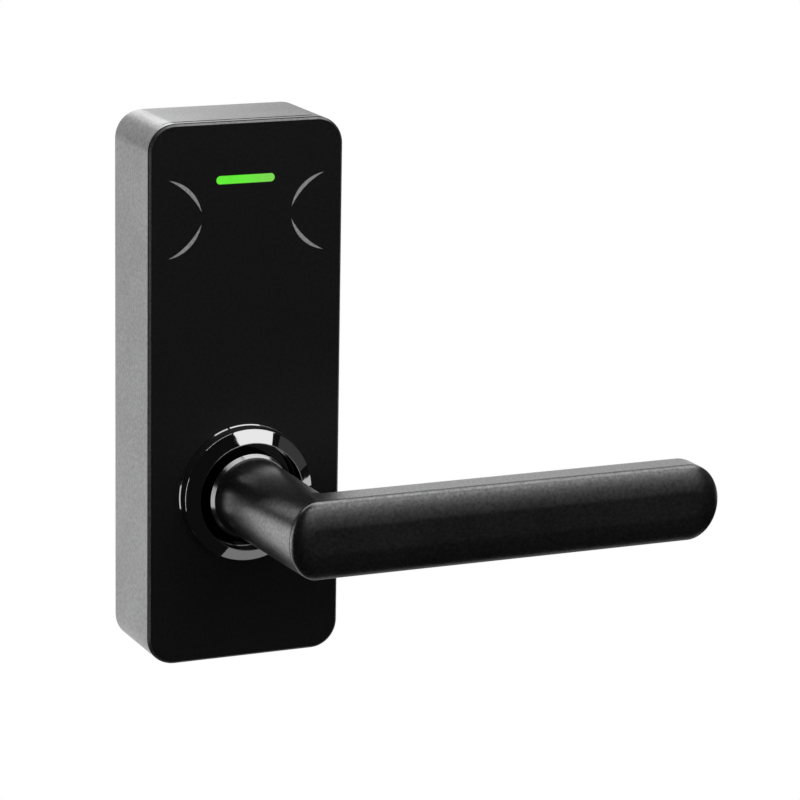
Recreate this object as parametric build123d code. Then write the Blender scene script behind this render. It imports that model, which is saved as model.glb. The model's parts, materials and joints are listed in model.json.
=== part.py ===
from build123d import *
import math
import os

# Card-reader door lock: the outside trim, with its lever, clutch and reader.
# Millimetres. The origin is where the spindle's axis meets the door's face. The door's face is the
# plane Y = 0, the trim stands in front of it towards -Y, the lever points along +X, and Z is up.
# A "depth" is a distance in front of the door's face, so a negative depth is inside the door.

# --- driving dimensions -----------------------------------------------------------------------
# outline of the plate
plate_width = 57.2
plate_height = 153.5
plate_corner = 7.8
axis_above_bottom = 48.1
plate_depth = 28.0

# housing, face frame and cover
wall = 2.4
housing_depth = 27.1
seat_front = 24.0
seat_back = 21.5
back_edge_round = 0.5
front_edge_round = 0.15
frame_gap = 0.35
frame_inset = 0.12
frame_chamfer = 0.5
frame_land = 0.1
panel_gap = 0.03
cover_wall = 1.6
slide_fit = 0.1
groove_depth = 24.2
groove_wide = 0.8
groove_deep = 0.35

# light bar and marks on the cover
light_length = 17.2
light_height = 2.3
light_offset = -0.35
light_above_axis = 89.2
light_sunk = 0.2
mark_tip_out = 22.8
mark_tip_in = 13.3
mark_centre_z = 79.0
mark_tip_out_rise = 10.9
mark_tip_in_rise = 1.7
mark_bulge = 2.15
mark_width = 1.1
mark_depth = 0.4

# rose, sleeve and neck
rose_foot_radius = 19.6
rose_radius = 19.35
rose_foot_high = 0.3
rose_shoulder_radius = 18.95
rose_shoulder_depth = 31.2
rose_shoulder_round = 0.35
rose_lip_radius = 15.2
rose_lip_depth = 33.75
rose_lip_round = 0.2
rose_floor_depth = 29.0
spigot_radius = 16.5
sleeve_radius = 12.45
sleeve_front = 34.8
sleeve_nose_radius = 11.6
sleeve_nose_long = 1.1
sleeve_back = 19.5
sleeve_flange_radius = 20.0
neck_radius = 11.3
running_fit = 0.06

# lever
lever_reach = 121.5
lever_left = 8.0
grip_half_height = 10.9
grip_near_half = 7.8
grip_tip_half = 9.3
grip_back_depth = 69.7
grip_seam_depth = 80.8
grip_front_depth = 83.8
neck_right = 11.2
grip_back_round = 4.6
grip_front_round = 2.4
seam_width = 0.25
seam_deep = 0.4
neck_proud = 0.05
neck_lap = 6.0
elbow_round = 6.0

# clutch
boss_side = 11.0
cup_radius = 17.0
cup_bore = 10.4
cup_front = 18.0
cup_floor = 14.5
cup_back = 5.5
follower_radius = 10.1
follower_front = 12.9
journal_radius = 8.0
pin_depth = 9.2
pin_radius = 2.0
pin_tip = 7.8
pin_top = 17.6
shoe_gap = 0.95
shoe_thick = 2.5
shoe_width = 5.0
lever_turn = 45.0
screw_radius = 1.5
shaft_depth = 11.2
motor_radius = 6.0
motor_base_z = 38.0
motor_length = 22.0

# hub of the lever
boss_short = 0.5
washer_step = 1.1
washer_front = 19.4
washer_radius = 12.4
hub_screw_radius = 2.4
hub_screw_tip = 26.0
hub_head_radius = 8.6
hub_head_high = 1.2
hub_socket_radius = 2.0
lug_width = 5.0
lug_low = 16.0
lug_high = 22.6
lug_back = 8.0
lug_front = 12.5
stop_wide = 3.0
stop_low = 20.4
stop_high = 24.0

# return spring
spring_wire = 0.75
spring_pitch = 1.75
spring_turns = 2.25
spring_radius = 18.9
spring_depth = 17.2

# small features of the clutch and its motor
pin_chamfer = 0.4
pin_hole_fit = 0.15
shoe_lead = 9.0
shoe_tail = 11.0
nut_sunk = 0.6
nut_high = 30.0
nut_width = 7.0
nut_corner = 0.8
nut_floor = 1.6
shaft_clear = 4.2
shaft_in_motor = 3.6
bearing_deep = 4.0
collar_gap = 0.6
collar_high = 2.0
collar_radius = 2.8
collar_flat = 0.8
motor_chamfer = 0.6
clamp_width = 18.0
clamp_high = 10.0
clamp_back = 10.7

# follower
hub_back = 1.0
flange_back = 4.4
spindle_cover = 1.4
spindle_chamfer = 0.8
grub_radius = 1.5
grub_depth = 8.0
grub_sunk = 0.4

# spindle and door fixings
spindle_side = 8.0
spindle_out = 45.0
post_spacing = 38.0
post_radius = 4.0
post_out = 8.0
post_thread_radius = 2.1
post_thread_deep = 12.0
post_head_radius = 5.4
post_head_high = 1.6
post_chamfer = 0.5

# back plate and gasket
back_plate_thick = 2.0
gasket_thick = 0.8
gasket_band = 2.8
gasket_hole_fit = 0.6

# --- worked-out positions ---------------------------------------------------------------------
plate_bottom = -axis_above_bottom
plate_top = plate_height - axis_above_bottom
plate_mid = (plate_bottom + plate_top) / 2
frame_back_depth = housing_depth + frame_gap
panel_back = plate_depth - cover_wall
panel_inset = frame_inset + frame_chamfer + frame_land
plate_back_depth = gasket_thick + back_plate_thick
grip_left = grip_near_half - lever_left
grip_right = lever_reach - grip_tip_half
hair = 0.05
deg = math.pi / 180


# --- shape helpers ----------------------------------------------------------------------------
def slab(sketch, depth_back, depth_front):
    """A flat outline drawn in X and Z, standing between two depths."""
    return extrude(Plane.XZ.offset(depth_back) * sketch, depth_front - depth_back)


def outline(inset=0.0):
    """The plate's rounded rectangle, drawn in by inset all round."""
    return Pos(0, plate_mid) * RectangleRounded(
        plate_width - 2 * inset, plate_height - 2 * inset, max(plate_corner - inset, 1.0))


def turned(points):
    """A ring or disc turned about the spindle's axis from (radius, depth) points."""
    profile = make_face(Polyline([(r, -d) for r, d in points], close=True))
    return revolve(profile, Axis.Y)


def disc(radius, depth_back, depth_front, x=0.0, z=0.0):
    """A round slab about an axis along Y."""
    return slab(Pos(x, z) * Circle(radius), depth_back, depth_front)


def upright(radius, depth, low, high):
    """A round bar about an upright axis, in front of the spindle's axis by depth."""
    return Pos(0, -depth, low) * Cylinder(radius, high - low, align=(Align.CENTER, Align.CENTER, Align.MIN))


def rounded_box(width, height, corner, x, z):
    """A rounded rectangle drawn in X and Z."""
    return Pos(x, z) * RectangleRounded(width, height, corner)


def corners(half_x, low_z, high_z):
    """Four places, symmetric about X = 0."""
    return [(sx * half_x, z) for sx in (-1, 1) for z in (low_z, high_z)]


def joined(solids):
    """Separate solids of one node, kept apart as a group."""
    return Compound(children=list(solids))


# --- fixing places ----------------------------------------------------------------------------
tip_room = 0.5
cover_screw_places = corners(21.5, -30.0, 50.0)
cover_boss_radius = 3.0
cover_screw_radius = 1.2
cover_head_radius = 2.3
cover_head_high = 1.6
cover_screw_deep = 3.4

plate_screw_places = corners(20.5, -38.5, 96.0)
plate_boss_radius = 3.4
plate_screw_radius = 1.25
plate_screw_deep = 8.0
plate_head_radius = 2.6
plate_socket_radius = 1.25
plate_socket_deep = 1.1

sleeve_screw_circle = 14.55
sleeve_screw_places = [(sleeve_screw_circle * math.cos(a * deg), sleeve_screw_circle * math.sin(a * deg))
                       for a in (30, 150, 270)]
sleeve_screw_radius = 1.0
sleeve_head_radius = 1.8
sleeve_head_high = 0.9
sleeve_screw_deep = 6.0

board_places = corners(19.0, 44.0, 88.0)
board_hole_radius = 1.3
board_boss_radius = 2.8
board_back = 3.2
board_thick = 1.4
board_front = board_back + board_thick
board_screw_radius = 1.0
board_screw_hole = 6.0
board_head_high = 0.35
board_corner = 2.0
chip_corner = 0.4
board_head_radius = 2.2
board_width = 44.0
board_low = 40.5
board_high = 91.5

reader_low = 56.0
reader_high = 98.5
reader_width = 45.4
reader_back = 24.6
reader_thick = 1.0
reader_front = reader_back + reader_thick
reader_corner = 3.0
led_side = 1.6
led_high = 0.18
led_corner = 0.2
led_spacing = 4.0
coil_turns = 3
coil_margin = 1.5
coil_pitch = 1.6
coil_width = 0.9
coil_high = 0.15

socket_x = 0.0
socket_z = 70.0
socket_width = 16.0
socket_height = 7.0
socket_shroud = 1.0
socket_corner = 0.6
socket_depth = 0.4
socket_room = 1.0

rose_hole_fit = 0.1
rose_hole_wall = 2.0
driver_half = 0.9

light_flange = 3.0
light_flange_corner = 1.0
light_flange_thick = 0.6

wire_windows = [(6.0, 62.0), (14.0, 82.0)]
window_width = 30.0
window_corner = 1.5


# --- fixed body -------------------------------------------------------------------------------
def housing_shell():
    shell = slab(outline(), 0, housing_depth)
    shell = fillet(shell.faces().sort_by(Axis.Y)[0].edges(), front_edge_round)
    shell = fillet(shell.faces().sort_by(Axis.Y)[-1].edges(), back_edge_round)
    shell -= top_groove()
    shell -= slab(outline(wall), seat_front, housing_depth)
    shell -= slab(outline(wall), 0, seat_back)
    for x, z in plate_screw_places:
        shell += disc(plate_boss_radius, plate_back_depth, seat_back, x, z)
        shell -= disc(plate_screw_radius + hair, plate_back_depth, plate_back_depth + plate_screw_deep, x, z)
    for x, z in board_places:
        shell += disc(board_boss_radius, board_front, seat_back, x, z)
        shell -= disc(board_screw_radius + hair, board_front, board_front + board_screw_hole, x, z)
    for x, z in cover_screw_places:
        shell -= disc(cover_screw_radius + slide_fit, seat_back, seat_front, x, z)
    shell -= disc(spigot_radius + rose_hole_fit, seat_back, seat_front)
    for height, z in wire_windows:
        shell -= slab(rounded_box(window_width, height, window_corner, 0, z), seat_back, seat_front)
    return shell


def top_groove():
    """A shallow drip groove along the straight part of the top, run out at both ends."""
    half = plate_width / 2 - plate_corner
    run_out = groove_deep * 4
    section = make_face(Polyline([(-half, 0), (half, 0), (half - run_out, -groove_deep),
                                  (run_out - half, -groove_deep)], close=True))
    return slab(Pos(0, plate_top) * section, groove_depth, groove_depth + groove_wide)


def face_frame():
    """The slim chamfered frame round the cover."""
    ring = slab(outline(frame_inset), frame_back_depth, plate_depth)
    ring = chamfer(ring.faces().sort_by(Axis.Y)[0].edges(), frame_chamfer)
    return ring - slab(outline(panel_inset), frame_back_depth, plate_depth)


def front_cover():
    lid = slab(outline(panel_inset + panel_gap), frame_back_depth, plate_depth)
    lid += slab(outline(wall + slide_fit), seat_front, frame_back_depth)
    lid -= slab(outline(wall + 2 * cover_wall), seat_front, panel_back)
    for x, z in cover_screw_places:
        lid += disc(cover_boss_radius, seat_front, panel_back, x, z)
        lid -= disc(cover_screw_radius + hair, seat_front, seat_front + cover_screw_deep, x, z)
    lid += disc(spigot_radius + rose_hole_wall, seat_front, panel_back)
    lid -= disc(spigot_radius + rose_hole_fit, seat_front, plate_depth)
    lid -= slab(light_outline(slide_fit / 2), panel_back, plate_depth)
    for mark in marks():
        lid -= mark
    return lid


def light_outline(grow=0.0):
    return Pos(light_offset, light_above_axis) * SlotOverall(light_length + 2 * grow, light_height + 2 * grow)


def light_bar():
    bar = slab(light_outline(), panel_back, plate_depth - light_sunk)
    base = rounded_box(light_length + light_flange, light_height + light_flange, light_flange_corner,
                       light_offset, light_above_axis)
    return bar + slab(base, panel_back - light_flange_thick, panel_back)


def mark_outline():
    """A crescent between two arcs that share their tips."""
    tip_a = Vector(mark_tip_out, mark_tip_out_rise)
    tip_b = Vector(mark_tip_in, mark_tip_in_rise)
    middle = (tip_a + tip_b) / 2
    along = (tip_b - tip_a).normalized()
    out = Vector(-along.Y, along.X)
    out = out if out.X < 0 else -out
    full = ThreePointArc(tip_a, middle + out * mark_bulge, tip_b)
    flat = ThreePointArc(tip_a, middle + out * (mark_bulge - mark_width), tip_b)
    return make_face([full, flat])


def marks():
    one = slab(Pos(0, mark_centre_z) * mark_outline(), plate_depth - mark_depth, plate_depth)
    level = Plane.XY.offset(mark_centre_z)
    upper = [one, mirror(one, Plane.YZ)]
    return upper + [mirror(m, level) for m in upper]


def reader_marks():
    return joined(marks())


def rose_ring():
    """The polished rose: a small foot, a rim that leans in, a cone and a dished middle."""
    ring = turned([
        (rose_foot_radius, plate_depth), (rose_radius, plate_depth + rose_foot_high),
        (rose_shoulder_radius, rose_shoulder_depth), (rose_lip_radius, rose_lip_depth),
        (rose_lip_radius, rose_floor_depth), (sleeve_radius + hair, rose_floor_depth),
        (sleeve_radius + hair, seat_back), (spigot_radius, seat_back), (spigot_radius, plate_depth)])
    ring = fillet(rings_at(ring, rose_shoulder_depth, rose_shoulder_radius), rose_shoulder_round)
    ring = fillet(rings_at(ring, rose_lip_depth, rose_lip_radius), rose_lip_round)
    for x, z in sleeve_screw_places:
        ring -= disc(sleeve_screw_radius + hair, seat_back, seat_back + sleeve_screw_deep, x, z)
    return ring


def rings_at(solid, depth, radius):
    """The round edges of a turned solid at one depth and radius."""
    return [e for e in solid.edges().filter_by(GeomType.CIRCLE)
            if abs(e.center(CenterOf.BOUNDING_BOX).Y + depth) < hair and abs(e.radius - radius) < hair]


def guide_sleeve():
    bore = neck_radius + running_fit
    sleeve = turned([
        (bore, sleeve_back), (bore, sleeve_front), (sleeve_nose_radius, sleeve_front),
        (sleeve_radius, sleeve_front - sleeve_nose_long),
        (sleeve_radius, seat_back), (sleeve_flange_radius, seat_back),
        (sleeve_flange_radius, sleeve_back)])
    for x, z in sleeve_screw_places:
        sleeve -= disc(sleeve_screw_radius + slide_fit, sleeve_back, seat_back, x, z)
    return sleeve


def pan_screw(head_radius, head_high, shank_radius, seat_depth, tip_depth, x, z):
    """A pan-head screw put in from behind, with a square driver socket."""
    shank = disc(shank_radius, seat_depth, tip_depth, x, z)
    head = disc(head_radius, seat_depth - head_high, seat_depth, x, z)
    head = chamfer(head.faces().sort_by(Axis.Y)[-1].edges(), head_high / 4)
    socket = slab(rounded_box(driver_half * 2, driver_half * 2, driver_half / 4, x, z),
                  seat_depth - head_high, seat_depth - head_high / 3)
    return shank + head - socket


def sleeve_screws():
    tip = seat_back + sleeve_screw_deep - tip_room
    return joined(pan_screw(sleeve_head_radius, sleeve_head_high, sleeve_screw_radius, sleeve_back, tip, x, z)
                  for x, z in sleeve_screw_places)


def cover_screws():
    tip = seat_front + cover_screw_deep - tip_room
    return joined(pan_screw(cover_head_radius, cover_head_high, cover_screw_radius, seat_back, tip, x, z)
                  for x, z in cover_screw_places)


def back_plate():
    plate = slab(outline(wall + slide_fit), gasket_thick, plate_back_depth)
    plate -= disc(journal_radius + running_fit, gasket_thick, plate_back_depth)
    for sx in (-1, 1):
        plate -= disc(post_radius + hair, gasket_thick, plate_back_depth, sx * post_spacing / 2, 0)
    for x, z in plate_screw_places:
        plate -= countersunk(x, z, slide_fit, 0)
    plate -= slab(rounded_box(socket_width + socket_room, socket_height + socket_room, socket_room,
                              socket_x, socket_z), gasket_thick, plate_back_depth)
    return plate


def countersunk(x, z, grow, deep):
    """A countersunk screw's outside, its head flush with the back plate."""
    head = plate_head_radius + grow
    shank = plate_screw_radius + grow
    cone = turned([(0, gasket_thick), (head, gasket_thick), (shank, gasket_thick + head - shank),
                   (shank, plate_back_depth + deep), (0, plate_back_depth + deep)])
    return Pos(x, 0, z) * cone


def plate_screws():
    screws = []
    for x, z in plate_screw_places:
        socket = slab(Pos(x, z) * RegularPolygon(plate_socket_radius, 6),
                      gasket_thick, gasket_thick + plate_socket_deep)
        screws.append(countersunk(x, z, 0, plate_screw_deep - 2 * tip_room) - socket)
    return joined(screws)


def door_gasket():
    rim = wall + slide_fit
    return slab(outline(rim) - outline(rim + gasket_band), 0, gasket_thick) - joined(
        disc(plate_head_radius + gasket_hole_fit, 0, gasket_thick, x, z) for x, z in plate_screw_places)


def fixing_posts():
    posts = []
    for sx in (-1, 1):
        x = sx * post_spacing / 2
        post = disc(post_radius, -post_out, plate_back_depth, x)
        post = chamfer(post.faces().sort_by(Axis.Y)[-1].edges(), post_chamfer)
        post += disc(post_head_radius, plate_back_depth, plate_back_depth + post_head_high, x)
        post -= disc(post_thread_radius, -post_out, post_thread_deep - post_out, x)
        posts.append(post)
    return joined(posts)


def control_board():
    height = board_high - board_low
    middle = (board_high + board_low) / 2
    board = slab(rounded_box(board_width, height, board_corner, 0, middle), board_back, board_front)
    for x, z in board_places:
        board -= disc(board_hole_radius, board_back, board_front, x, z)
    return board


def board_screws():
    tip = board_front + board_screw_hole - tip_room
    return joined(pan_screw(board_head_radius, board_head_high, board_screw_radius, board_back, tip, x, z)
                  for x, z in board_places)


def board_parts():
    """Chips on the control board's front: (x, z, width, height, thickness)."""
    chips = [(-9.0, 68.0, 10.0, 10.0, 1.2), (6.0, 66.0, 6.0, 8.0, 1.5), (13.0, 78.0, 5.0, 5.0, 1.0),
             (-10.0, 82.0, 8.0, 5.0, 1.6), (3.0, 84.0, 7.0, 5.0, 2.5)]
    return joined(slab(rounded_box(w, h, chip_corner, x, z), board_front, board_front + t)
                  for x, z, w, h, t in chips)


def wire_socket():
    """The header that the door's cable plugs into, standing back through the plate."""
    width, height = socket_width - 2 * socket_shroud, socket_height - 2 * socket_shroud
    body = slab(rounded_box(socket_width, socket_height, socket_corner, socket_x, socket_z),
                socket_depth, board_back)
    return body - slab(rounded_box(width, height, socket_corner / 2, socket_x, socket_z),
                       socket_depth, board_back - socket_shroud)


def reader_board():
    return slab(reader_outline(0), reader_back, reader_front)


def reader_outline(inset):
    """The reader board's rounded outline, drawn in by inset."""
    return rounded_box(reader_width - 2 * inset, reader_high - reader_low - 2 * inset, reader_corner,
                       0, (reader_high + reader_low) / 2)


def antenna_coil():
    rings = []
    for turn in range(coil_turns):
        inset = coil_margin + turn * coil_pitch
        ring = reader_outline(inset) - reader_outline(inset + coil_width)
        rings.append(slab(ring, reader_front, reader_front + coil_high))
    return joined(rings)


def light_leds():
    return joined(slab(rounded_box(led_side, led_side, led_corner, light_offset + x, light_above_axis),
                       reader_front, reader_front + led_high)
                  for x in (-3 * led_spacing / 2, -led_spacing / 2, led_spacing / 2, 3 * led_spacing / 2))


def stop_posts():
    """Two blocks that the cup's lug meets at rest and at the end of the lever's turn."""
    near = lug_width / 2 + slide_fit
    block = slab(Pos(near + stop_wide / 2, -(stop_low + stop_high) / 2) * Rectangle(
        stop_wide, stop_high - stop_low), lug_back, seat_back)
    other = Rot(0, lever_turn, 0) * mirror(block, Plane.YZ)
    return joined([block, other])


def motor_can():
    can = upright(motor_radius, shaft_depth, motor_base_z, motor_base_z + motor_length)
    can = chamfer(can.edges().filter_by(GeomType.CIRCLE), motor_chamfer)
    return can - upright(screw_radius + running_fit, shaft_depth, motor_base_z, motor_base_z + bearing_deep)


def motor_clamp():
    """A saddle that holds the motor against the housing's wall."""
    z = motor_base_z + motor_length / 2
    saddle = slab(rounded_box(clamp_width, clamp_high, 1.0, 0, z), clamp_back, seat_back)
    return saddle - upright(motor_radius + hair, shaft_depth, z - clamp_high, z + clamp_high)


def return_spring():
    """A torsion spring that lies round the sleeve, in front of the cup's lug."""
    line = Helix(spring_pitch, spring_pitch * spring_turns, spring_radius)
    section = (line ^ 0) * Circle(spring_wire)
    coil = sweep(section, line)
    return Pos(0, -spring_depth, 0) * Rot(-90, 0, 0) * coil


# --- lever body -------------------------------------------------------------------------------
def half_pill(inset=0.0):
    """The grip's outline from the middle of its near end to its tip."""
    half_high = grip_half_height - inset
    tip = Pos(grip_right, 0) * Ellipse(grip_tip_half - inset, half_high)
    return tip + Pos((grip_left + grip_right) / 2, 0) * Rectangle(grip_right - grip_left, 2 * half_high)


def grip_outline(inset=0.0):
    """A long pill with slightly flattened half-ellipse ends."""
    near = Pos(grip_left, 0) * Ellipse(grip_near_half - inset, grip_half_height - inset)
    return near + half_pill(inset)


def neck_section(depth, left, right, half_high, x):
    """Two half-ellipses that share their upright axis, seen from in front, at one depth."""
    near = EllipticalCenterArc((x, 0), left, half_high, 90, arc_size=180)
    far = EllipticalCenterArc((x, 0), right, half_high, 270, arc_size=180)
    return Plane.XZ.offset(depth) * make_face([near, far])


def lever_arm():
    """The casting: a tapered neck that turns through a filleted elbow into the grip's back."""
    bar = slab(half_pill(), grip_back_depth, grip_seam_depth)
    back = bar.faces().sort_by(Axis.Y)[-1].edges()
    bar = fillet([e for e in back if e.center().X > grip_left + 1], grip_back_round)
    hub, root = [neck_section(depth, neck_radius, neck_radius, neck_radius, 0)
                 for depth in (washer_front, sleeve_front)]
    head = neck_section(grip_seam_depth, grip_near_half, neck_right - grip_left,
                        grip_half_height + neck_proud, grip_left)
    arm = bar + loft([hub, root, head], ruled=True)
    elbow = [e for e in arm.edges() if elbow_edge(e.bounding_box())]
    arm = fillet(elbow, elbow_round)
    arm += disc(neck_radius - washer_step, cup_front, washer_front + neck_lap)
    arm += slab(Rectangle(boss_side, boss_side), cup_floor + boss_short, cup_front)
    arm -= disc(hub_screw_radius + hair, cup_floor + boss_short, hub_screw_tip + 1)
    return arm


def grip_front():
    cap = slab(grip_outline(), grip_seam_depth + seam_width, grip_front_depth)
    cap = fillet(cap.faces().sort_by(Axis.Y)[0].edges(), grip_front_round)
    return cap + slab(grip_outline(seam_deep), grip_seam_depth, grip_seam_depth + seam_width)


def elbow_edge(box):
    """The seam between the neck and the grip's back, where the elbow is rounded."""
    near_back = -grip_back_depth - grip_back_round - 1 < box.min.Y and box.max.Y < -grip_back_depth + 1
    return near_back and grip_left + 1 < box.min.X and box.max.X < neck_radius + 1


def thrust_washer():
    bore = neck_radius - washer_step + slide_fit
    return turned([(bore, cup_front + slide_fit), (bore, washer_front - slide_fit),
                   (washer_radius, washer_front - slide_fit), (washer_radius, cup_front + slide_fit)])


def drive_cup():
    cup = turned([(0, cup_floor), (0, cup_front), (cup_radius, cup_front), (cup_radius, cup_back),
                  (cup_bore, cup_back), (cup_bore, cup_floor)])
    cup -= slab(Rectangle(boss_side + slide_fit, boss_side + slide_fit), cup_floor, cup_front)
    cup += slab(Pos(0, -(lug_low + lug_high) / 2) * Rectangle(lug_width, lug_high - lug_low),
                lug_back, lug_front)
    bore = upright(pin_radius + running_fit, pin_depth, cup_radius / 2, cup_radius * 3 / 2)
    return cup - bore


def hub_screw():
    head = disc(hub_head_radius, cup_floor - hub_head_high, cup_floor)
    head = chamfer(head.faces().sort_by(Axis.Y)[-1].edges(), hub_head_high / 3)
    screw = head + disc(hub_screw_radius, cup_floor, hub_screw_tip)
    return screw - slab(RegularPolygon(hub_socket_radius, 6), cup_floor - hub_head_high, cup_floor + 1.5)


# --- clutch pieces ----------------------------------------------------------------------------
def coupling_pin():
    pin = upright(pin_radius, pin_depth, pin_tip, pin_top)
    return chamfer(pin.edges().filter_by(GeomType.CIRCLE), pin_chamfer)


def clutch_shoe():
    """An arc that presses the pin through the lever's whole turn, with a stem to its nut."""
    inner = pin_top + shoe_gap
    outer = inner + shoe_thick
    back, front = pin_depth - shoe_width / 2, pin_depth + shoe_width / 2
    ring = disc(outer, back, front) - disc(inner, back, front)
    start, end = 90 - lever_turn - shoe_lead, 90 + shoe_tail
    wedge = [(0, 0)] + [(2 * outer * math.cos(a * deg), 2 * outer * math.sin(a * deg))
                        for a in (start, (start + end) / 2, end)]
    arc = ring & slab(make_face(Polyline(wedge, close=True)), back, front)
    nut_low = outer - nut_sunk
    nut = slab(rounded_box(nut_width, nut_high - nut_low, nut_corner, 0, (nut_low + nut_high) / 2),
               back, shaft_depth + nut_width / 2)
    return arc + nut - upright(screw_radius + running_fit, shaft_depth, nut_low + nut_floor, nut_high + 1)


def motor_shaft():
    low = pin_top + shoe_gap + shoe_thick + shaft_clear
    shaft = upright(screw_radius, shaft_depth, low, motor_base_z + shaft_in_motor)
    collar_low = motor_base_z - collar_gap - collar_high
    collar = upright(collar_radius, shaft_depth, collar_low, collar_low + collar_high)
    flat = Pos(0, -shaft_depth - collar_radius, collar_low + collar_high / 2) * Box(
        2 * collar_radius, collar_flat, collar_high)
    return shaft + collar - flat


# --- follower and spindle ---------------------------------------------------------------------
def follower():
    hub = turned([(0, follower_front), (follower_radius, follower_front), (follower_radius, flange_back),
                  (journal_radius, flange_back), (journal_radius, hub_back), (0, hub_back)])
    hub -= slab(Rectangle(spindle_side, spindle_side), hub_back, follower_front - spindle_cover)
    hub -= upright(pin_radius + pin_hole_fit, pin_depth, pin_tip - tip_room, follower_radius + 1)
    hub -= upright(grub_radius + hair, grub_depth, -follower_radius - 1, -spindle_side / 2)
    return hub


def spindle():
    bar = slab(Rectangle(spindle_side, spindle_side), -spindle_out, follower_front - spindle_cover)
    return chamfer(bar.faces().sort_by(Axis.Y)[-1].edges(), spindle_chamfer)


def follower_grub():
    low = grub_sunk - follower_radius
    grub = upright(grub_radius, grub_depth, low, -spindle_side / 2)
    socket = Pos(0, -grub_depth, low) * extrude(RegularPolygon(grub_radius / 2, 6), grub_radius)
    return grub - socket


# --- every piece ------------------------------------------------------------------------------
pieces = [
    housing_shell, face_frame, front_cover, light_bar, reader_marks, rose_ring, guide_sleeve, sleeve_screws,
    cover_screws, back_plate, plate_screws, door_gasket, fixing_posts, control_board, board_screws,
    board_parts, wire_socket, reader_board, antenna_coil, light_leds, stop_posts, motor_can,
    motor_clamp, return_spring,
    lever_arm, grip_front, thrust_washer, drive_cup, hub_screw,
    coupling_pin, clutch_shoe, motor_shaft,
    follower, spindle, follower_grub,
]

os.makedirs("parts", exist_ok=True)
for piece in pieces:
    export_step(piece(), "parts/" + piece.__name__ + ".step")
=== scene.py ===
import json
import math

import bpy
import numpy as np
from mathutils import Matrix, Vector


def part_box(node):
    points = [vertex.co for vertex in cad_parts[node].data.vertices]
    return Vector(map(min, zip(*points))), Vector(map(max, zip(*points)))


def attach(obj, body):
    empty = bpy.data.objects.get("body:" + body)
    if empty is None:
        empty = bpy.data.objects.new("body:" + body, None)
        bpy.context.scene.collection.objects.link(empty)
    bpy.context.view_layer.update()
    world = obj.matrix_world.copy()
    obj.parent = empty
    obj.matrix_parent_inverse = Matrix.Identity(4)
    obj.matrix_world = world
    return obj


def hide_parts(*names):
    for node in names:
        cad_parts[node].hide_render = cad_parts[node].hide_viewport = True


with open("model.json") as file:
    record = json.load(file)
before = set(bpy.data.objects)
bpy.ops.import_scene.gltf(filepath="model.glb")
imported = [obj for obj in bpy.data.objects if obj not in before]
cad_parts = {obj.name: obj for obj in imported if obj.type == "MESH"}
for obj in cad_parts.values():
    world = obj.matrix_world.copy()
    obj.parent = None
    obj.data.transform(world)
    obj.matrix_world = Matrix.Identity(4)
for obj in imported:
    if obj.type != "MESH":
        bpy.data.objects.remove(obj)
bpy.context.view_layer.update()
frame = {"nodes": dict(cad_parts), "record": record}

nodes = frame["nodes"]
MM = 0.001


def low_high(node):
    """A node's box in metres as two plain arrays."""
    low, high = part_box(node)
    return np.array(low), np.array(high)


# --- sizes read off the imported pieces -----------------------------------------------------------
cap_low, cap_high = low_high("grip_front")
light_low, light_high = low_high("light_bar")
nose_radius = 12.45  # millimetres from the spindle's axis, where the sleeve's bright nose ends and the painted shade on its body begins
bore_radius = 15.1  # and where the rose's bore, painted dark as painted shade, begins
# groove and gap bands painted dark in the housing's coat as painted shade: middle depth, half width and
# lowest height, all in millimetres
top_groove_painted_shade = (24.6, 0.5, 104.9)
frame_gap_painted_shade = (27.15, 0.3, -999.0)


# --- shader helpers -----------------------------------------------------------------------------
def linear(code):
    """The linear colour of an sRGB hex code."""
    parts = [int(code[i:i + 2], 16) / 255 for i in (0, 2, 4)]
    return tuple(p / 12.92 if p <= 0.04045 else ((p + 0.055) / 1.055) ** 2.4 for p in parts) + (1.0,)


def add(tree, kind, settings=None, values=None, links=None):
    """One shader node with its settings, its sockets' values and what feeds them."""
    node = tree.nodes.new(kind)
    for key, value in (settings or {}).items():
        setattr(node, key, value)
    for key, value in (values or {}).items():
        node.inputs[key].default_value = value
    for key, socket in (links or {}).items():
        tree.links.new(socket, node.inputs[key])
    return node


def surface(name, **values):
    """A material with one principled surface, and its tree and shader to build on."""
    material = bpy.data.materials.new(name)
    material.use_nodes = True
    tree = material.node_tree
    shader = tree.nodes["Principled BSDF"]
    for key, value in values.items():
        shader.inputs[key.replace("_", " ")].default_value = value
    return material, tree, shader


def millimetres(tree, scale=(1.0, 1.0, 1.0)):
    """Object coordinates counted in millimetres, stretched by scale."""
    place = add(tree, "ShaderNodeTexCoord")
    stretch = add(tree, "ShaderNodeMapping", values={"Scale": tuple(s / MM for s in scale)},
                  links={"Vector": place.outputs["Object"]})
    return stretch.outputs["Vector"]


def speckle(tree, where, size, detail=2.0, rough=0.55):
    """Noise whose blobs are about size millimetres across."""
    values = {"Scale": 0.5 / size, "Detail": detail, "Roughness": rough}
    return add(tree, "ShaderNodeTexNoise", values=values, links={"Vector": where}).outputs["Fac"]


def spindle_radius(tree):
    """How many millimetres a point stands from the spindle's axis."""
    split = add(tree, "ShaderNodeSeparateXYZ", links={"Vector": millimetres(tree)})
    flat = add(tree, "ShaderNodeCombineXYZ", links={"X": split.outputs["X"], "Z": split.outputs["Z"]})
    return add(tree, "ShaderNodeVectorMath", {"operation": "LENGTH"},
               links={0: flat.outputs[0]}).outputs["Value"]


def spread(tree, socket, low, high, start=0.3, end=0.7):
    """A noise value stretched from the range start..end to low..high."""
    return add(tree, "ShaderNodeMapRange",
               values={"From Min": start, "From Max": end, "To Min": low, "To Max": high},
               links={"Value": socket}).outputs["Result"]


def tint(tree, factor, dark, light):
    """A colour between two hex codes."""
    return add(tree, "ShaderNodeMix", {"data_type": "RGBA"}, {6: linear(dark), 7: linear(light)},
               {0: factor}).outputs[2]


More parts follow.
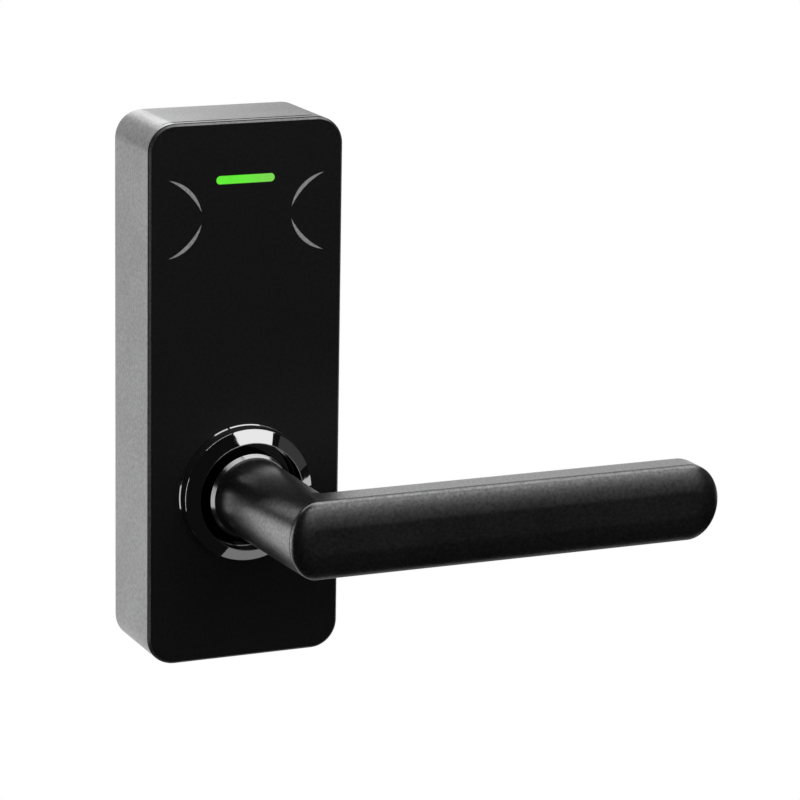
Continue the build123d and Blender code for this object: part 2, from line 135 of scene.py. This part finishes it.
def raised(tree, shader, height, deep):
    """Relief of deep millimetres on the shader's normal."""
    bump = add(tree, "ShaderNodeBump", values={"Distance": deep * MM, "Strength": 1.0},
               links={"Height": height})
    tree.links.new(bump.outputs["Normal"], shader.inputs["Normal"])


# --- finishes -----------------------------------------------------------------------------------
def painted_groove_shade_mask(tree, middle, half_wide, floor):
    """One where a point is near the groove's depth and above its floor, else nought: where the painted shade
    goes.
    """
    split = add(tree, "ShaderNodeSeparateXYZ", links={"Vector": millimetres(tree)})
    off = add(tree, "ShaderNodeMath", {"operation": "ADD"}, {1: middle}, {0: split.outputs["Y"]}).outputs[0]
    near = add(tree, "ShaderNodeMath", {"operation": "COMPARE"}, {1: 0.0, 2: half_wide}, {0: off}).outputs[0]
    high = add(tree, "ShaderNodeMath", {"operation": "GREATER_THAN"}, {1: floor},
               {0: split.outputs["Z"]}).outputs[0]
    return add(tree, "ShaderNodeMath", {"operation": "MULTIPLY"}, links={0: near, 1: high}).outputs[0]


def graphite_coat(name, dark, light, rough, grain, deep, painted_shade_grooves=()):
    """Satin metallic coat: the flakes give a soft metal reflection with a fine even grain. In each
    groove and gap given, the coat is painted near-black: painted shade where shade falls in them."""
    material, tree, shader = surface(name, Metallic=1.0, Roughness=rough)
    where = millimetres(tree)
    flakes = speckle(tree, where, grain, 3.0)
    coat = tint(tree, spread(tree, flakes, 0, 1), dark, light)
    # painted shade: each groove and gap band is painted near-black (1c1c1c) over the coat
    for groove in painted_shade_grooves:
        coat = add(tree, "ShaderNodeMix", {"data_type": "RGBA"}, {7: linear("1c1c1c")},
                   {0: painted_groove_shade_mask(tree, *groove), 6: coat}).outputs[2]
    tree.links.new(coat, shader.inputs["Base Color"])
    drift = speckle(tree, where, 9.0)
    tree.links.new(spread(tree, drift, rough - 0.03, rough + 0.03), shader.inputs["Roughness"])
    raised(tree, shader, flakes, deep)
    return material


def grained_black(name):
    """Fine spark-eroded grain on black plastic: a faint sparkle, no mirror image."""
    material, tree, shader = surface(name, Roughness=0.46)
    shader.inputs["Specular IOR Level"].default_value = 0.4
    where = millimetres(tree)
    grain = speckle(tree, where, 0.4, 3.0)
    tree.links.new(tint(tree, spread(tree, grain, 0, 1), "0c0c0c", "1f1f1f"), shader.inputs["Base Color"])
    tree.links.new(spread(tree, speckle(tree, where, 14.0), 0.42, 0.52), shader.inputs["Roughness"])
    raised(tree, shader, grain, 0.02)
    return material


def lit_green(name):
    """Milky light pipe, lit from behind: full green, paler towards the far lamp."""
    material, tree, shader = surface(name, Roughness=0.35)
    where = millimetres(tree)
    along = add(tree, "ShaderNodeSeparateXYZ", links={"Vector": where})
    half = float(light_high[0] - light_low[0]) / MM / 2
    pale = add(tree, "ShaderNodeMapRange", {"interpolation_type": "SMOOTHSTEP"},
               {"From Min": -half / 3, "From Max": half, "To Min": 0.0, "To Max": 1.0},
               {"Value": along.outputs["X"]}).outputs["Result"]
    cloud = spread(tree, speckle(tree, where, 1.6), 0.94, 1.04)
    colour = tint(tree, pale, "62ea36", "7ed652")
    tree.links.new(colour, shader.inputs["Emission Color"])
    tree.links.new(cloud, shader.inputs["Emission Strength"])
    shader.inputs["Base Color"].default_value = linear("1c3a18")
    return material


def silver_inlay(name):
    """Printed silver ink: a dull metal sheen with fine pigment."""
    material, tree, shader = surface(name, Roughness=0.5)
    pigment = speckle(tree, millimetres(tree), 0.3, 3.0)
    tree.links.new(tint(tree, spread(tree, pigment, 0, 1), "acacac", "d0d0d0"), shader.inputs["Base Color"])
    return material


def bright_chrome(name):
    """Polished chrome plate: a mirror, with the slightest wave left by buffing; down in the bore
    the colour is painted near-black, painted shade for the shade that falls in the bore."""
    material, tree, shader = surface(name, Metallic=1.0, Roughness=0.035)
    # painted shade: inside the bore's radius the base colour drops to near-black (2a2a2b)
    out_of_painted_bore_shade = spread(tree, spindle_radius(tree), 0, 1, bore_radius - 0.1, bore_radius + 0.05)
    tree.links.new(tint(tree, out_of_painted_bore_shade, "2a2a2b", "e6e6e7"), shader.inputs["Base Color"])
    wave = speckle(tree, millimetres(tree), 3.5, 1.0)
    tree.links.new(spread(tree, wave, 0.02, 0.06), shader.inputs["Roughness"])
    raised(tree, shader, wave, 0.002)
    return material


def turned_steel(name, dark, light, rough, pitch):
    """Turned steel: rings of tool marks about the spindle's axis pull each reflection into a band."""
    material, tree, shader = surface(name, Metallic=1.0, Roughness=rough)
    marks = add(tree, "ShaderNodeTexNoise", {"noise_dimensions": "1D"}, {"Scale": 1 / pitch, "Detail": 2.0},
                {"W": spindle_radius(tree)}).outputs["Fac"]
    tree.links.new(tint(tree, spread(tree, marks, 0, 1), dark, light), shader.inputs["Base Color"])
    tree.links.new(spread(tree, marks, rough - 0.04, rough + 0.06), shader.inputs["Roughness"])
    raised(tree, shader, marks, 0.006)
    return material


def collar_steel(name):
    """The sleeve's steel: the nose is turned bright, in rings of tool marks; beyond it the body is painted
    near-black and rougher, as painted shade.
    """
    material, tree, shader = surface(name, Metallic=1.0, Roughness=0.2)
    radius = spindle_radius(tree)
    marks = add(tree, "ShaderNodeTexNoise", {"noise_dimensions": "1D"}, {"Scale": 8.0, "Detail": 2.0},
                {"W": radius}).outputs["Fac"]
    bright = tint(tree, spread(tree, marks, 0, 1), "c4c4c4", "e2e2e2")
    # painted shade: beyond the nose the sleeve's body is painted near-black (232324), for the shade behind
    # the rose's lip
    body = spread(tree, radius, 0, 1, nose_radius - 0.06, nose_radius - 0.02)
    both = add(tree, "ShaderNodeMix", {"data_type": "RGBA"}, {7: linear("232324")},
               {0: body, 6: bright}).outputs[2]
    tree.links.new(both, shader.inputs["Base Color"])
    tree.links.new(spread(tree, body, 0.16, 0.4, 0, 1), shader.inputs["Roughness"])
    raised(tree, shader, marks, 0.004)
    return material


def plated_steel(name, dark, light, rough, patch):
    """Zinc-plated steel: patches of crystal a few millimetres across, each a little different."""
    material, tree, shader = surface(name, Metallic=1.0, Roughness=rough)
    where = millimetres(tree)
    crystals = add(tree, "ShaderNodeTexVoronoi", values={"Scale": 1 / patch}, links={"Vector": where})
    grey = add(tree, "ShaderNodeSeparateColor", links={"Color": crystals.outputs["Color"]}).outputs["Red"]
    tree.links.new(tint(tree, grey, dark, light), shader.inputs["Base Color"])
    tree.links.new(spread(tree, grey, rough - 0.05, rough + 0.08, 0, 1), shader.inputs["Roughness"])
    raised(tree, shader, speckle(tree, where, 0.4), 0.01)
    return material


def drawn_metal(name, dark, light, rough, along):
    """Drawn or ground metal: fine lines that run one way, given by the stretch of the noise."""
    material, tree, shader = surface(name, Metallic=1.0, Roughness=rough)
    lines = speckle(tree, millimetres(tree, along), 0.25, 3.0)
    tree.links.new(tint(tree, spread(tree, lines, 0, 1), dark, light), shader.inputs["Base Color"])
    tree.links.new(spread(tree, lines, rough - 0.05, rough + 0.08), shader.inputs["Roughness"])
    raised(tree, shader, lines, 0.01)
    return material


def foam_rubber(name):
    """Closed-cell foam: matt black, pitted with cells about half a millimetre across."""
    material, tree, shader = surface(name, Roughness=0.9)
    cells = add(tree, "ShaderNodeTexVoronoi", values={"Scale": 2.0}, links={"Vector": millimetres(tree)})
    tree.links.new(tint(tree, cells.outputs["Distance"], "141414", "262625"), shader.inputs["Base Color"])
    raised(tree, shader, cells.outputs["Distance"], 0.12)
    return material


def solder_mask(name):
    """Green lacquer over glass cloth: the weave shows as a faint square check."""
    material, tree, shader = surface(name, Roughness=0.3)
    where = millimetres(tree)
    squares = {"Scale": 1.6, "Color1": (0, 0, 0, 1), "Color2": (1, 1, 1, 1)}
    weave = add(tree, "ShaderNodeTexChecker", values=squares, links={"Vector": where}).outputs["Fac"]
    cloud = spread(tree, speckle(tree, where, 5.0), 0.0, 0.6)
    both = add(tree, "ShaderNodeMath", {"operation": "MULTIPLY_ADD"}, {1: 0.25}, {0: weave, 2: cloud})
    tree.links.new(tint(tree, both.outputs[0], "0c3d20", "17603a"), shader.inputs["Base Color"])
    return material


def moulded(name, dark, light, rough, grain):
    """Moulded plastic: an even colour with the slight mottle of the mould's skin."""
    material, tree, shader = surface(name, Roughness=rough)
    where = millimetres(tree)
    mottle = speckle(tree, where, grain, 3.0)
    tree.links.new(tint(tree, spread(tree, mottle, 0, 1), dark, light), shader.inputs["Base Color"])
    tree.links.new(spread(tree, mottle, rough - 0.05, rough + 0.05), shader.inputs["Roughness"])
    raised(tree, shader, mottle, 0.015)
    return material


finishes = {
    "housing_paint": graphite_coat("graphite_coat_on_housing", "818182", "a2a2a3", 0.34, 0.45, 0.010,
                                   painted_shade_grooves=(top_groove_painted_shade, frame_gap_painted_shade)),
    "lever_satin": graphite_coat("graphite_coat_on_lever", "888889", "b2b2b3", 0.31, 0.42, 0.014),
    "cover_black": grained_black("grained_black_cover"),
    "light_green": lit_green("lit_green_pipe"),
    "mark_grey": silver_inlay("silver_ink_marks"),
    "polished_chrome": bright_chrome("polished_chrome"),
    "satin_steel": turned_steel("turned_satin_steel", "b9b8b4", "cfcecb", 0.24, 0.12),
    "screw_steel": plated_steel("zinc_plated_screws", "8e8e90", "b4b4b8", 0.32, 0.8),
    "plate_steel": plated_steel("zinc_plated_sheet", "8c8e92", "aeb2b8", 0.36, 2.6),
    "gasket_rubber": foam_rubber("closed_cell_foam"),
    "board_green": solder_mask("solder_mask"),
    "chip_black": moulded("moulded_chip", "141415", "1f1f20", 0.5, 0.2),
    "socket_plastic": moulded("natural_nylon", "d2cbb8", "e0dac9", 0.45, 0.6),
    "coil_copper": drawn_metal("copper_track", "b8663c", "d08052", 0.3, (1, 1, 1)),
    "led_lens": moulded("clear_lens", "c8d4a0", "dfe8bc", 0.12, 0.5),
    "spring_steel": drawn_metal("oil_hardened_wire", "565656", "7a7876", 0.35, (1, 1, 1)),
    "bearing_plastic": moulded("white_acetal", "dcdad2", "eceae4", 0.38, 0.7),
    "pin_steel": drawn_metal("ground_pin", "b0b0b0", "cacaca", 0.2, (1, 1, 0.1)),
    "shaft_brass": drawn_metal("turned_brass", "b8923e", "d2ae58", 0.22, (1, 1, 6)),
    "spindle_steel": drawn_metal("bright_drawn_bar", "9c9a97", "bab8b4", 0.28, (1, 0.04, 1)),
}


sleeve_finish_with_painted_shade = collar_steel("collar_with_painted_shade_on_sleeve_body")


def dress_nodes():
    """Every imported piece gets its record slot's finish; the sleeve gets its own."""
    slots = {part["node"]: part["material_slot"] for part in frame["record"]["subparts"]}
    for name, obj in nodes.items():
        finish = sleeve_finish_with_painted_shade if name == "guide_sleeve" else finishes[slots[name]]
        if not obj.material_slots:
            obj.data.materials.append(finish)
        for slot in obj.material_slots:
            slot.material = finish


# --- new surfaces -------------------------------------------------------------------------------
def grid_mesh(name, points, material):
    """A skin over a grid of points: rows run along the piece, columns run round it and close up."""
    rows, columns = points.shape[:2]
    index = np.arange(rows * columns).reshape(rows, columns)
    beside = np.roll(index, -1, 1)
    faces = np.stack([index[:-1], beside[:-1], beside[1:], index[1:]], -1).reshape(-1, 4).tolist()
    mesh = bpy.data.meshes.new(name)
    mesh.from_pydata(points.reshape(-1, 3).tolist(), [], faces)
    mesh.materials.append(material)
    mesh.polygons.foreach_set("use_smooth", [True] * len(mesh.polygons))
    obj = bpy.data.objects.new(name, mesh)
    bpy.context.scene.collection.objects.link(obj)
    return obj


def tidy_normals(obj, merge):
    """Merge doubled points, then turn every face outwards."""
    import bmesh
    work = bmesh.new()
    work.from_mesh(obj.data)
    bmesh.ops.remove_doubles(work, verts=work.verts, dist=merge)
    bmesh.ops.recalc_face_normals(work, faces=work.faces)
    work.to_mesh(obj.data)
    work.free()


# --- the grip's front -----------------------------------------------------------------------------
near_half = 7.8 * MM  # half-width of the pill's round end by the neck
tip_half = 9.3 * MM  # and of its far end
seam_wide = 0.25 * MM
seam_deep = 0.4 * MM
dome_power = 2.15
rim_upright = 0.12 * MM  # the rim stands this much before the dome starts
cap_half_high = float(cap_high[2])
cap_left = float(cap_low[0]) + near_half
cap_right = float(cap_high[0]) - tip_half
seam_back = float(-cap_high[1])
seam_front = seam_back + seam_wide
dome_top = float(-cap_low[1])


def pill(inset):
    """The grip's outline: half-ellipses round both ends, joined by straight runs above and below."""
    straight = cap_right - cap_left
    turn = np.linspace(0, np.pi, 120)
    run = np.linspace(0, 1, 122)[1:-1]
    x_tip = cap_right + (tip_half - inset) * np.sin(turn)
    z_tip = (cap_half_high - inset) * np.cos(turn)
    x_near = cap_left - (near_half - inset) * np.sin(turn)
    z_near = -(cap_half_high - inset) * np.cos(turn)
    x = np.concatenate([x_tip, cap_right - straight * run, x_near, cap_left + straight * run])
    z = np.concatenate([z_tip, 0 * run - (cap_half_high - inset), z_near, 0 * run + (cap_half_high - inset)])
    return x, z


def domed_cap():
    """Each ring of the dome is the pill shrunk towards its middle line by t; its height follows a
    superellipse, bulge x (1 - (1 - t)^power)^(1/power) turned on its side, so that the rim stands
    upright and the middle is nearly flat. Behind the rim a narrow groove and a flat back close it."""
    x0, z0 = pill(0.0)
    middle_x = np.clip(x0, cap_left, cap_right)
    reach = np.sin(np.linspace(0, np.pi / 2, 40))
    bulge = dome_top - seam_front
    shrink = 1 - (1 - reach ** 2) ** 0.5
    rows = []
    rim_profile = ((seam_deep, seam_back), (seam_deep, seam_front - 0.02 * MM),
                   (0.12 * MM, seam_front), (0.03 * MM, seam_front + 0.03 * MM))
    for gap, depth in rim_profile:
        x, z = pill(gap)
        rows.append(np.stack([x, 0 * x - depth, z], -1))
    for s in shrink:
        x = middle_x + (x0 - middle_x) * (1 - s)
        z = z0 * (1 - s)
        up = bulge * (1 - (1 - s) ** dome_power) ** (1 / dome_power)
        rows.append(np.stack([x, 0 * x - np.minimum(seam_front + rim_upright + up, dome_top), z], -1))
    points = np.stack(rows)
    points[-1, :, 2] = 0
    cap = grid_mesh("domed_grip_cap", points, finishes["lever_satin"])
    ring = points[0]
    spine = np.stack([np.clip(ring[:, 0], cap_left, cap_right), ring[:, 1], 0 * ring[:, 2]], -1)
    floor = grid_mesh("cap_floor", np.stack([spine, ring]), finishes["lever_satin"])
    bpy.ops.object.select_all(action="DESELECT")
    floor.select_set(True)
    cap.select_set(True)
    bpy.context.view_layer.objects.active = cap
    bpy.ops.object.join()
    tidy_normals(cap, 2e-6)
    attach(cap, "lever")
    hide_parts("grip_front")
    return cap


# --- stage, camera and light --------------------------------------------------------------------
def sheet_object(name, corners, material):
    """A flat four-cornered sheet."""
    mesh = bpy.data.meshes.new(name)
    mesh.from_pydata([tuple(c) for c in corners], [], [(0, 1, 2, 3)])
    mesh.materials.append(material)
    obj = bpy.data.objects.new(name, mesh)
    bpy.context.scene.collection.objects.link(obj)
    return obj


def plain_glow(name, strength):
    """A surface that only shines, evenly."""
    material = bpy.data.materials.new(name)
    material.use_nodes = True
    tree = material.node_tree
    tree.nodes.clear()
    glow = add(tree, "ShaderNodeEmission", values={"Strength": strength})
    add(tree, "ShaderNodeOutputMaterial", links={"Surface": glow.outputs[0]})
    return material


def seen_only_by_camera(obj):
    """Keep the backdrop out of the object's reflections and shading."""
    obj.visible_diffuse = False
    obj.visible_glossy = False
    obj.visible_transmission = False
    obj.visible_shadow = False


def soft_panel(name, place, aim, width, height, radiance):
    """A softbox: radiance is how bright its face looks, so power follows from its area."""
    light = bpy.data.lights.new(name, "AREA")
    light.shape = "RECTANGLE"
    light.size = width
    light.size_y = height
    light.energy = radiance * width * height * math.pi
    obj = bpy.data.objects.new(name, light)
    bpy.context.scene.collection.objects.link(obj)
    obj.location = place
    obj.rotation_mode = "QUATERNION"
    obj.rotation_quaternion = (Vector(aim) - Vector(place)).to_track_quat("-Z", "Y")
    obj.visible_camera = False
    return obj


def front_gradient(away, strips, step, lowest):
    """A wash in front of the lever that brightens upwards: strips one above another, step degrees
    each, whose radiance climbs as a power of their height."""
    across, ahead = 0.33, -0.944
    brightest, climb = 0.85, 1.5
    for row in range(strips):
        pitch = math.radians(lowest + step * row)
        level = away * math.cos(pitch)
        place = (across * level, ahead * level, away * math.sin(pitch))
        soft_panel("front_strip_%d" % row, place, (0.04, 0, 0), 1.0, away * math.radians(step),
                   brightest * ((row + 0.5) / strips) ** climb)


def stage():
    """White floor and wall, and soft panels: bright above and behind, dim in front, black elsewhere."""
    glow = plain_glow("white_sweep", 1.0)
    half = 6.0
    floor_z = -0.25
    floor = sheet_object("floor", [(-half, -half, floor_z), (half, -half, floor_z), (half, half, floor_z),
                                   (-half, half, floor_z)], glow)
    turn = np.linspace(0, 2 * np.pi, 96, endpoint=False)
    ring = np.stack([half * np.cos(turn), half * np.sin(turn), 0 * turn], -1)
    wall = grid_mesh("wall", np.stack([ring + (0, 0, floor_z), ring + (0, 0, half)]), glow)
    for piece in (floor, wall):
        seen_only_by_camera(piece)
    world = bpy.data.worlds.new("studio")
    bpy.context.scene.world = world
    world.use_nodes = True
    world.node_tree.nodes["Background"].inputs["Color"].default_value = (0.005, 0.005, 0.005, 1)
    soft_panel("overhead_softbox", (0.62, -0.25, 1.0), (0.62, -0.25, 0), 1.15, 1.2, 1.0)
    soft_panel("low_cyclorama", (-0.2, 1.3, -0.65), (-0.2, 0, -0.65), 5.0, 1.3, 0.95)
    soft_panel("high_cyclorama", (1.2, 1.3, 0.65), (1.2, 0, 0.65), 2.1, 1.3, 0.74)
    soft_panel("back_patch", (0.22, 1.3, 0.6), (0.22, 0, 0.1), 0.5, 0.4, 2.3)
    soft_panel("back_left_dim", (-0.15, 0.35, 0.39), (-0.15, 0, 0.39), 0.26, 0.62, 0.8)
    soft_panel("floor_bounce", (0.5, 0.25, -0.8), (0.5, 0.25, 0), 1.0, 1.0, 0.2)
    soft_panel("floor_left", (-0.35, 0.4, -0.8), (-0.35, 0.4, 0), 0.6, 0.6, 0.4)
    front_gradient(1.16, 8, 6.0, -6.0)
    soft_panel("front_foot", (0.42, -1.1, -0.5), (0.08, 0, 0), 1.2, 0.8, 0.005)
    soft_panel("left_strip", (-1.2, 0.1, -0.15), (0, 0, 0), 0.8, 0.9, 0.6)
    soft_panel("overhead_left", (-0.40, 0.05, 1.0), (-0.40, 0.05, 0), 0.8, 0.6, 0.8)
    soft_panel("right_dim", (1.4, -0.3, 0.4), (0, 0, 0), 1.1, 0.8, 0.04)
    soft_panel("right_patch", (1.35, 0.06, -0.2), (0, 0, 0), 0.3, 0.2, 0.55)
    # this one reaches matt surfaces only, so that the black face and its marks show but nothing mirrors it
    fill = soft_panel("diffuse_fill", (-0.1, -1.0, 0.3), (0, 0, 0.05), 1.2, 0.9, 1.12)
    fill.visible_glossy = False


def camera():
    """A long lens from the front left, a little above."""
    data = bpy.data.cameras.new("camera")
    data.lens = 165.9
    data.sensor_width = 36.0
    data.shift_x = -0.0213
    data.shift_y = -0.0325
    obj = bpy.data.objects.new("camera", data)
    bpy.context.scene.collection.objects.link(obj)
    right = Vector((0.9131, -0.4071, 0.0177)).normalized()
    up = Vector((0.0778, 0.2166, 0.9732)).normalized()
    back = right.cross(up).normalized()
    up = back.cross(right)
    turn = Matrix((right, up, back)).transposed().to_4x4()
    turn.translation = Vector((-0.3670, -0.9581, 0.2704))
    obj.matrix_world = turn
    bpy.context.scene.camera = obj


dress_nodes()
domed_cap()
stage()
camera()
bpy.context.scene.view_settings.view_transform = "Standard"
